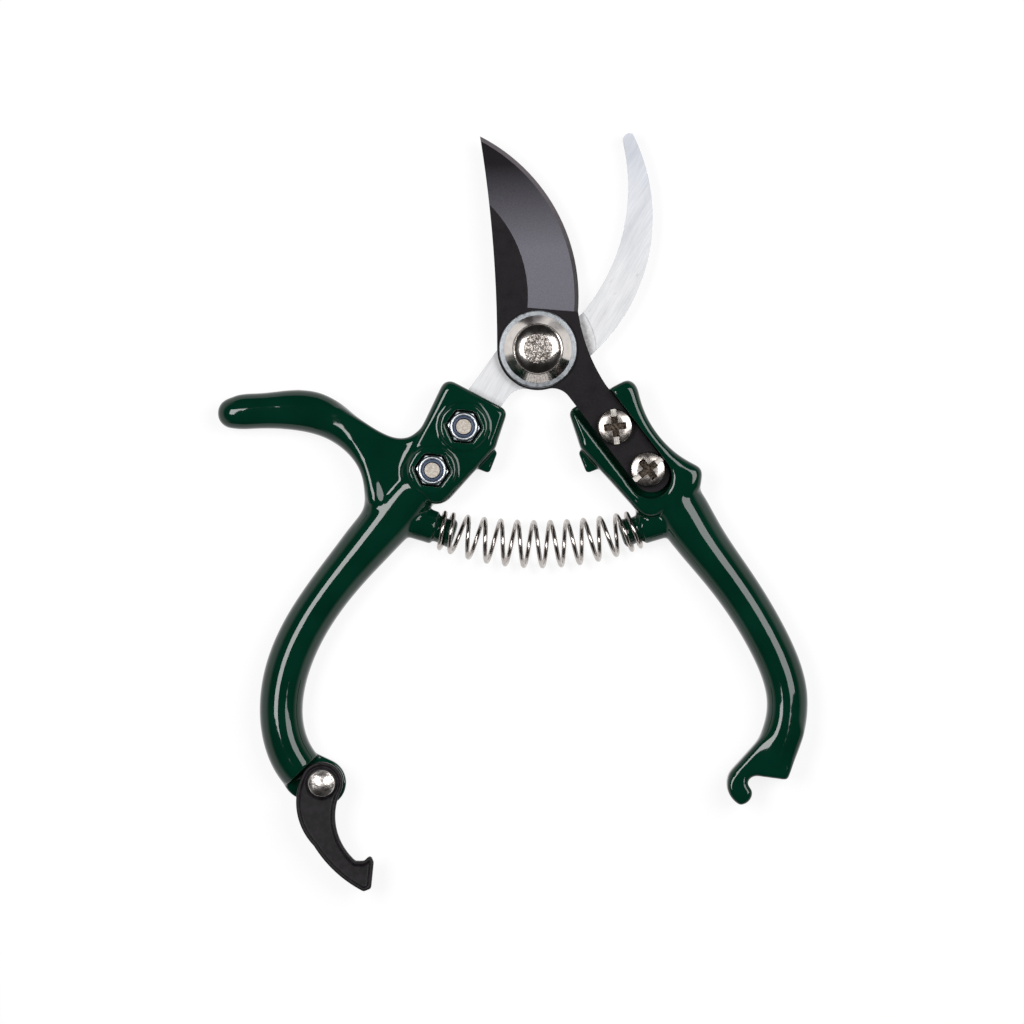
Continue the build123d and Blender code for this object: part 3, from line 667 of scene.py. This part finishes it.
# %% Where limbs of a casting flow into each other
fork_passes = 120
crotch = in_plan(-47.3, -43.3)
crotch_reach = 5.0 * mm
fork_walls = [(crotch, crotch + point_length, crotch_reach, fork_passes)]
horn_passes = 100
horn_root = in_plan(-54.1, -17.5)
horn_reach = 5.0 * mm
horn_zones = [(horn_root, horn_root + point_length, horn_reach, horn_passes)]
wrist_passes = 40
wrist_start, wrist_end, back_end = in_plan(73.0, -101.5), in_plan(60.5, -104.5), in_plan(54.0, -113.0)
wrist_reach = 7.0 * mm
back_reach = 5.0 * mm
wrist_zones = [
    (wrist_start, wrist_end, wrist_reach, wrist_passes),
    (wrist_end, back_end, back_reach, wrist_passes),
]
wall_lean = 0.7


def flow_zones(side, vertex):
    """Lines with a reach and a number of passes, where a point of a handle runs further."""
    if side == "right":
        return wrist_zones
    on_wall = abs(vertex.normal.z) < wall_lean
    return horn_zones + fork_walls if on_wall else horn_zones


# %% [markdown]
# ### Handles
#
# Every point of a handle gets its own number of passes. All points start together, and after each
# round those that have had enough stay where they are. The soft borders of the zones keep a
# number from jumping between neighbours, which would show as a crease in the gloss.

# %% Handles
handle_voxel = 0.36 * mm
crisp_passes = 6
soft_passes = 40
round_passes = 3
crisp_border = 3.0 * mm
flow_border = 5.0 * mm
castings = (("left", "counter"), ("right", "cutting"))


def passes_at(vertex, side, zones):
    """How far the enamel has run at a point: little at a seat, far where limbs meet."""
    crisp = max(fade(away(vertex.co, start, end), reach, crisp_border) for start, end, reach in zones)
    flows = flow_zones(side, vertex)
    extra = max(fade(away(vertex.co, *line), reach, flow_border) * most for *line, reach, most in flows)
    return crisp_passes + (1 - crisp) * (soft_passes + extra)


for side, blade in castings:
    casting = even_skin(f"{side}_handle", handle_voxel)
    zones = crisp_zones(side, blade)
    wanted = [(vertex, passes_at(vertex, side, zones)) for vertex in casting.verts]
    done = 0
    while wanted:
        smooth(casting, [vertex for vertex, passes in wanted], round_passes)
        done += round_passes
        wanted = [(vertex, passes) for vertex, passes in wanted if passes > done]
    print(side, "casting:", len(casting.faces), "faces, up to", done, "passes")
    show(f"{side}_casting", casting, side, [f"{side}_handle"], [enamel])

# %% [markdown]
# ### Latch
#
# The latch comes out of a steel mould with small, even edges. A finer skin and a few passes over
# all of it are enough.

# %% Latch
latch_voxel = 0.22 * mm
latch_passes = 3
moulding = even_skin("latch", latch_voxel)
smooth(moulding, moulding.verts[:], latch_passes)
print("latch moulding:", len(moulding.faces), "faces")
show("latch_moulding", moulding, "latch", ["latch"], [plastic])

# %% [markdown]
# ## Blades
#
# Both blades are flat stampings, so their solids are kept as they are. A merged copy only gets
# its finishes. On the cutting blade they are picked by the tilt of each face: level faces are
# coated, the cone of the bevel leans a little, and the honed edge leans more.

# %% Blades
level_tilt = radians(4)
bevel_tilt = radians(15)
edge_tilt = radians(30)
crease = radians(6)


def dress_blade(name, node, body, materials, tilts):
    """A merged copy of a blade. Faces have the first material, or a later one by a range of tilt."""
    bm = merged_copy(node)
    up = Vector((0, 0, 1))
    for face in bm.faces:
        tilt = face.normal.angle(up, pi)
        for index, (least, most) in enumerate(tilts, start=1):
            if least < tilt < most:
                face.material_index = index
    print(name, len(bm.faces), "faces")
    show(name, bm, body, [node], materials, crease)


black_finishes = [black_coat, ground_black, honed]
black_tilts = [(level_tilt, bevel_tilt), (bevel_tilt, edge_tilt)]
dress_blade("cutting_blade_dressed", "cutting_blade", "right", black_finishes, black_tilts)
dress_blade("counter_blade_dressed", "counter_blade", "left", [ground_steel], [])

# %% [markdown]
# ## Turned pieces
#
# Bolt, washer, rivet, screws and nut crowns are turned or pressed round. Each is drawn as half
# a section, a line of radius and height, and spun about its axis.

# %% Helpers for turned pieces
turn_steps = 64
roll_steps = 6
seam_gap = 0.001 * mm


def quarter(start, end, steps=roll_steps, bulge=True):
    """Points of a quarter ellipse between two corners of a half section, start left out."""
    points = []
    for step in range(1, steps + 1):
        angle = step / steps * pi / 2
        if bulge:
            share_r, share_z = 1 - cos(angle), sin(angle)
        else:
            share_r, share_z = sin(angle), 1 - cos(angle)
        radius = start[0] + (end[0] - start[0]) * share_r
        height = start[1] + (end[1] - start[1]) * share_z
        points.append((radius, height))
    return points


def turned(section, steps=turn_steps):
    """Spin a half section, given in millimetres as radius and height, into a closed form."""
    bm = bmesh.new()
    corners = [bm.verts.new((radius * mm, 0, height * mm)) for radius, height in section]
    line = [bm.edges.new(pair) for pair in zip(corners, corners[1:])]
    bmesh.ops.spin(
        bm, geom=corners + line, cent=(0, 0, 0), axis=(0, 0, 1), angle=2 * pi, steps=steps, use_merge=True
    )
    bmesh.ops.remove_doubles(bm, verts=bm.verts, dist=seam_gap)
    bmesh.ops.recalc_face_normals(bm, faces=bm.faces)
    return bm


def settle(bm, x, y, z, turn=0.0, upside_down=False):
    """Move a form from its own axis to its place."""
    place = Matrix.Translation((x, y, z)) @ Matrix.Rotation(turn, 4, "Z")
    if upside_down:
        place = place @ Matrix.Rotation(pi, 4, "X")
    bmesh.ops.transform(bm, matrix=place, verts=bm.verts)
    return bm


def rolled_crown(wall, wall_top, edge, bend, top, level=0.0, steps=16):
    """Top of a head: its wall rolls over at the edge into a crown that bends round a level middle."""
    radii = [edge * (1 - step / steps) for step in range(steps + 1)]
    crown = [(radius, top - max(0, radius - level) ** 2 / (2 * bend)) for radius in radii]
    return quarter((wall, wall_top), crown[0]) + crown[1:]


# %% [markdown]
# ### Pivot bolt and washer
#
# The bolt has a cone for a skirt, and a dome with a level, stamped middle stands on it. A fine
# groove parts the two. The washer is pressed from sheet, so its upper edge is rounded and its
# lower one only broken. Both lie on the axis of the pivot, which is the origin in plan.

# %% Pivot bolt
fine_steps = 96
turn_crease = radians(40)
shank_radius, shank_chamfer = 4.0, 0.4
skirt_radius, skirt_edge = 9.1, 0.1
skirt_wall, skirt_height = 0.25, 2.85
dome_radius, dome_roll = 6.7, 1.3
stamp_radius, stamp_depth = 4.1, 0.6
groove = 0.2
crown_bend = 6.7
crown_level = 2.8
crown_edge = 6.4
washer_low, washer_top = (height / mm for height in axis_of("pivot_washer")[2:])
dome_top = axis_of("pivot_bolt")[3] / mm
dome_low = dome_top - dome_roll
skirt_low, skirt_high = washer_top + skirt_wall, washer_top + skirt_height

bolt_section = [(0, 0), (shank_radius - shank_chamfer, 0), (shank_radius, shank_chamfer)]
bolt_section += [(shank_radius, washer_top), (skirt_radius - skirt_edge, washer_top)]
bolt_section += [(skirt_radius, washer_top + skirt_edge), (skirt_radius, skirt_low)]
bolt_section += [(dome_radius + groove, skirt_high), (dome_radius, skirt_high - groove)]
bolt_section += [(dome_radius, dome_low)]
bolt_section += rolled_crown(dome_radius, dome_low, crown_edge, crown_bend, dome_top, crown_level)
bolt_bm = turned(bolt_section, fine_steps)
for face in bolt_bm.faces:
    middle = face.calc_center_median()
    if middle.xy.length < stamp_radius * mm and middle.z > (dome_top - stamp_depth) * mm:
        face.material_index = 1
bolt_finishes = [nickel, stamped_nickel]
show("pivot_bolt_turned", bolt_bm, "left", ["pivot_bolt"], bolt_finishes, turn_crease)
print("bolt top at", round(dome_top, 2), "mm")

# %% Washer
fit_room = 0.06
washer_radius = 10.5
washer_bore = shank_radius + fit_room
washer_burr, washer_round = 0.15, 0.35
washer_steps = 5
round_low = washer_top - washer_round
round_end = (washer_radius - washer_round, washer_top)
washer_section = [(washer_bore, washer_low), (washer_radius - washer_burr, washer_low)]
washer_section += [(washer_radius, washer_low + washer_burr), (washer_radius, round_low)]
washer_section += quarter((washer_radius, round_low), round_end, washer_steps)
washer_section += [(washer_bore, washer_top), (washer_bore, washer_low)]
washer_bm = turned(washer_section, fine_steps)
show("pivot_washer_pressed", washer_bm, "left", ["pivot_washer"], [dull_zinc], turn_crease)
print("washer", round(washer_top - washer_low, 2), "mm thick")

# %% [markdown]
# ### Pivot nut
#
# A thin hexagon nut closes the pivot at the back. A hexagon and a circle are filled between, the
# ring is extruded, and its sharp edges are bevelled. The lock nuts use the same helper later.

# %% Pivot nut
bore_corners = 24
level_faces = radians(1)
edge_steps = 3


def hexagon(flats, height, bore, edge):
    """Hexagon with a bore and rounded edges, standing on its own origin. Millimetres."""
    bm = bmesh.new()
    outer = bmesh.ops.create_circle(bm, segments=6, radius=flats / 3**0.5 * mm)["verts"]
    inner = bmesh.ops.create_circle(bm, segments=bore_corners, radius=bore / 2 * mm)["verts"]
    rims = list({rim for vertex in outer + inner for rim in vertex.link_edges})
    bmesh.ops.triangle_fill(bm, edges=rims, use_beauty=True)
    bmesh.ops.dissolve_limit(bm, angle_limit=level_faces, verts=bm.verts, edges=bm.edges)
    grown = bmesh.ops.extrude_face_region(bm, geom=list(bm.faces))["geom"]
    raised = [item for item in grown if isinstance(item, bmesh.types.BMVert)]
    bmesh.ops.translate(bm, verts=raised, vec=(0, 0, height * mm))
    bmesh.ops.recalc_face_normals(bm, faces=bm.faces)
    sharp = [item for item in bm.edges if item.calc_face_angle(0) > turn_crease]
    bmesh.ops.bevel(
        bm,
        geom=sharp,
        offset=edge * mm,
        affect="EDGES",
        segments=edge_steps,
        profile=0.5,
        material=-1,
        clamp_overlap=True,
    )
    return bm


def corner_turn(node):
    """How far a hexagon with a corner on Y is turned to match a hexagonal CAD node."""
    middle = Vector((*axis_of(node)[:2], 0))
    corners = [vertex.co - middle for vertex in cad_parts[node].data.vertices]
    farthest = max(corners, key=lambda corner: corner.xy.length)
    return atan2(farthest.y, farthest.x) - pi / 2


pivot_nut_flats, pivot_nut_edge = 13.0, 0.3
nut_x, nut_y, nut_low, nut_high = axis_of("pivot_nut")
pivot_nut_bm = hexagon(pivot_nut_flats, (nut_high - nut_low) / mm, 2 * washer_bore, pivot_nut_edge)
settle(pivot_nut_bm, nut_x, nut_y, nut_low, corner_turn("pivot_nut"))
show("pivot_nut_pressed", pivot_nut_bm, "left", ["pivot_nut"], [zinc], turn_crease)
print("pivot nut", round((nut_high - nut_low) / mm, 2), "mm tall")

# %% [markdown]
# ## Screws
#
# The pan heads have a cross recess with a slot through it. The head is turned first. Then two
# cutters are taken away by a boolean: a shallow bar for the slot, and two deeper tapered bars
# for the cross. The cutters are thrown away, so that only the finished screw stays.

# %% Helpers for screws
def carved(bm, cutters, materials):
    """Take cutter forms away from a form. Each cutter leaves its own material on the cut."""
    form = placed("form", bm, materials)
    tools = []
    for cutter in cutters:
        tool = placed("tool", cutter, materials)
        cut = form.modifiers.new("cut", "BOOLEAN")
        cut.object = tool
        cut.solver = "EXACT"
        tools.append(tool)
    result = finished(form)
    for tool in tools:
        bpy.data.objects.remove(tool)
    return result


def bar(length, width, top, bottom, material, taper=1.0):
    """Bar between two heights that narrows to a share of its sizes at the bottom. Millimetres."""
    bm = bmesh.new()
    bmesh.ops.create_cube(bm, size=1.0)
    for vertex in bm.verts:
        lower = vertex.co.z < 0
        vertex.co.x *= length * mm * (taper if lower else 1)
        vertex.co.y *= width * mm * (taper if lower else 1)
        vertex.co.z = (bottom if lower else top) * mm
    for face in bm.faces:
        face.material_index = material
    return bm


# %% Screw with its head
screw_steps = 72
head_radius, head_height = 4.75, 3.4
head_rim = 2.1
head_bend = 6.0
head_level = 2.2
head_edge = 4.4
seat_edge, seat_rise = 0.2, 0.25
thread_radius, tip_radius, tip_chamfer = 2.5, 2.0, 0.5
tip_skin = 0.01
slot_width, slot_depth = 1.5, 1.9
slot_reach, slot_spare = 2.4 * head_radius, 1.0
cross_reach, cross_width, cross_depth = 6.2, 1.85, 2.7
cross_taper, cross_spare = 0.85, 0.2
screw_finishes = [satin_nickel, sawn_nickel, recess_shade_nickel, sheared_steel]
sawn, punched, sheared = 1, 2, 3


def make_screw(length):
    """Screw with its head's seat at height nought and its slot along X."""
    section = [(0, -length), (tip_radius, -length)]
    section += [(thread_radius, tip_chamfer - length), (thread_radius, 0)]
    section += [(head_radius - seat_edge, 0), (head_radius, seat_rise), (head_radius, head_rim)]
    section += rolled_crown(head_radius, head_rim, head_edge, head_bend, head_height, head_level)
    blank = turned(section, screw_steps)
    for face in blank.faces:
        if face.calc_center_median().z < (tip_skin - length) * mm:
            face.material_index = sheared
    cutters = [bar(slot_reach, slot_width, head_height + slot_spare, head_height - slot_depth, sawn)]
    cross_top, cross_bottom = head_height + cross_spare, head_height - cross_depth
    for turn in (0, pi / 2):
        arm = bar(cross_reach, cross_width, cross_top, cross_bottom, punched, cross_taper)
        bmesh.ops.rotate(arm, verts=arm.verts, cent=(0, 0, 0), matrix=Matrix.Rotation(turn, 3, "Z"))
        cutters.append(arm)
    return carved(blank, cutters, screw_finishes)


# %% Four screws in place
slot_turns = {"upper": radians(96.3), "lower": radians(38.3)}
blade_bodies = (("cutting", "right"), ("counter", "left"))
screw_crease = radians(35)
for row, slot_turn in slot_turns.items():
    for blade, body in blade_bodies:
        node = f"{blade}_screw_{row}"
        x, y, low, high = axis_of(node)
        at_back = blade == "counter"
        seat = low + head_height * mm if at_back else high - head_height * mm
        screw_bm = make_screw((high - low) / mm - head_height)
        settle(screw_bm, x, y, seat, slot_turn, at_back)
        show(f"{node}_cut", screw_bm, body, [node], screw_finishes, screw_crease)
print("four screws with", cross_reach, "mm cross recesses")

# %% [markdown]
# ## Lock nuts
#
# A lock nut is a hexagon whose top is drawn into a round crown, and the crown is rolled over a
# nylon ring. The hexagon is extruded and bevelled, the crown and the ring are turned.

# %% Lock nut and its nylon ring
nut_steps = 48
nut_flats, nut_edge = 8.0, 0.35
hexagon_height = 3.4
crown_radius, crown_mouth = 3.95, 2.95
crown_foot = hexagon_height - 0.4
lip_radius = crown_radius - 0.6
crown_roll, mouth_drop = 0.8, 0.45
lip_steps = 4
ring_mouth, ring_depth, ring_shoulder = 2.52, 1.5, 0.6
lip_reach, lip_drop = 0.1, 0.15
thread_reach, thread_drop = 0.25, 0.2


def joined(bm, other):
    """Add a second form to a form. The second one is used up."""
    mesh = bpy.data.meshes.new("joined")
    other.to_mesh(mesh)
    other.free()
    bm.from_mesh(mesh)
    bpy.data.meshes.remove(mesh)
    return bm


def make_nut(tall):
    """Hexagon with a crown, standing on its own origin."""
    roll_low = tall - crown_roll
    crown = [(crown_mouth, crown_foot), (crown_radius, crown_foot), (crown_radius, roll_low)]
    crown += quarter((crown_radius, roll_low), (lip_radius, tall))
    crown += quarter((lip_radius, tall), (crown_mouth, tall - mouth_drop), lip_steps, False)
    crown += [(crown_mouth, crown_foot)]
    body = hexagon(nut_flats, hexagon_height, 2 * thread_radius + fit_room, nut_edge)
    return joined(body, turned(crown, nut_steps))


def make_ring(tall):
    """Nylon ring in the crown, its lip pushed up by the thread."""
    ring_low, shoulder = tall - ring_depth, tall - ring_shoulder
    ring = [(ring_mouth, ring_low), (crown_mouth, ring_low), (crown_mouth, shoulder)]
    ring += quarter((crown_mouth, shoulder), (ring_mouth - lip_reach, tall - lip_drop), lip_steps)
    ring += [(ring_mouth - thread_reach, tall - thread_drop)]
    ring += [(ring_mouth, shoulder), (ring_mouth, ring_low)]
    return turned(ring, nut_steps)


# %% Four lock nuts in place
for row in slot_turns:
    for blade, body in blade_bodies:
        node = f"{blade}_nut_{row}"
        insert = f"{blade}_insert_{row}"
        x, y, low, high = axis_of(node)
        tall = (high - low) / mm
        at_back = blade == "cutting"
        seat = high if at_back else low
        nut_bm = settle(make_nut(tall), x, y, seat, corner_turn(node), at_back)
        show(f"{node}_pressed", nut_bm, body, [node], [zinc], turn_crease)
        ring_bm = settle(make_ring(tall), x, y, seat, 0, at_back)
        show(f"{insert}_ring", ring_bm, body, [insert], [nylon])
print("four lock nuts,", round(tall, 1), "mm tall")

# %% [markdown]
# ## Latch rivet
#
# The rivet holds the latch on its ear. Its dome is smooth but a little beaten, and its tail is
# spread flat on the back.

# %% Rivet
rivet_x, rivet_y, rivet_low, rivet_high = axis_of("latch_rivet")
rivet_tall = (rivet_high - rivet_low) / mm
rivet_head, rivet_head_height, rivet_roll = 3.65, 2.4, 1.5
rivet_shank = 2.0
rivet_tail, tail_height, tail_round = 3.2, 1.0, 0.4
tail_steps = 3
seat_height = rivet_tall - rivet_head_height
rivet_wall = rivet_tall - rivet_roll
rivet_edge = 3.3
rivet_bend = 6.5
tail_flat = (rivet_tail - tail_round, 0)
rivet_section = [(0, 0), tail_flat] + quarter(tail_flat, (rivet_tail, tail_round), tail_steps, False)
rivet_section += [(rivet_tail, tail_height), (rivet_shank, tail_height), (rivet_shank, seat_height)]
rivet_section += [(rivet_head, seat_height), (rivet_head, rivet_wall)]
rivet_section += rolled_crown(rivet_head, rivet_wall, rivet_edge, rivet_bend, rivet_tall)
rivet_bm = settle(turned(rivet_section), rivet_x, rivet_y, rivet_low)
rivet_finish = [beaten_nickel]
show("latch_rivet_formed", rivet_bm, "left", ["latch_rivet"], rivet_finish, turn_crease)
print("rivet", round(rivet_tall, 1), "mm long")

# %% [markdown]
# ## Spring
#
# The spring is wound from round wire into a barrel, open in the middle and close at its ends,
# and it bows between the two pegs. A spin of one vertex gives an even helix of edges. Each
# point is then moved: out to the barrel, along to its own pitch, and round the bow. A curve
# gives the wire its thickness.

# %% Spring
bow_radius = 90.0
bow_middle_y = -52.6
half_span = 27.7
wire_radius = 0.6
seat_gap = 0.15
turns = 13
end_turns = 1.5
end_pitch = 2.4
end_radius = 4.75
middle_radius = 6.0
handle_middle = 6.7
steps_per_turn = 40
wire_sides = 3
wire_crease = radians(60)
half_angle = asin(half_span / bow_radius) - (seat_gap + wire_radius) / bow_radius
spring_length = 2 * half_angle * bow_radius


def run_share(turn):
    """Share of the spring's length before a turn: close end turns and open middle ones."""
    end_share = end_turns * end_pitch / spring_length
    if turn < end_turns:
        return turn * end_pitch / spring_length
    if turn > turns - end_turns:
        return 1 - (turns - turn) * end_pitch / spring_length
    return end_share + (1 - 2 * end_share) * (turn - end_turns) / (turns - 2 * end_turns)


helix = bmesh.new()
first = helix.verts.new((0, 0, -1))
bmesh.ops.spin(
    helix,
    geom=[first],
    cent=(0, 0, 0),
    axis=(1, 0, 0),
    dvec=(1 / steps_per_turn, 0, 0),
    angle=2 * pi * turns,
    steps=turns * steps_per_turn,
)
for vertex in helix.verts:
    turn, across, up = vertex.co
    share = run_share(turn)
    swing = (2 * share - 1) * half_angle
    radius = end_radius + (middle_radius - end_radius) * (1 - (2 * share - 1) ** 2)
    out = bow_radius - radius * across
    vertex.co.x = out * sin(swing) * mm
    vertex.co.y = (bow_middle_y + bow_radius - out * cos(swing)) * mm
    vertex.co.z = (handle_middle + radius * up) * mm
wound = placed("helix", helix, [])
chosen = {"active_object": wound, "object": wound, "selected_objects": [wound]}
with bpy.context.temp_override(**chosen, selected_editable_objects=[wound]):
    bpy.ops.object.convert(target="CURVE")
wound = bpy.data.objects["helix"]
wound.data.bevel_depth = wire_radius * mm
wound.data.bevel_resolution = wire_sides
wound.data.use_fill_caps = True
wire_bm = finished(wound)
bmesh.ops.remove_doubles(wire_bm, verts=wire_bm.verts, dist=seam_gap)
bmesh.ops.recalc_face_normals(wire_bm, faces=wire_bm.faces)
spring = show("spring_wire", wire_bm, None, ["spring"], [spring_nickel], wire_crease)
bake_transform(spring)
print("spring of", turns, "turns,", len(spring.data.polygons), "faces")
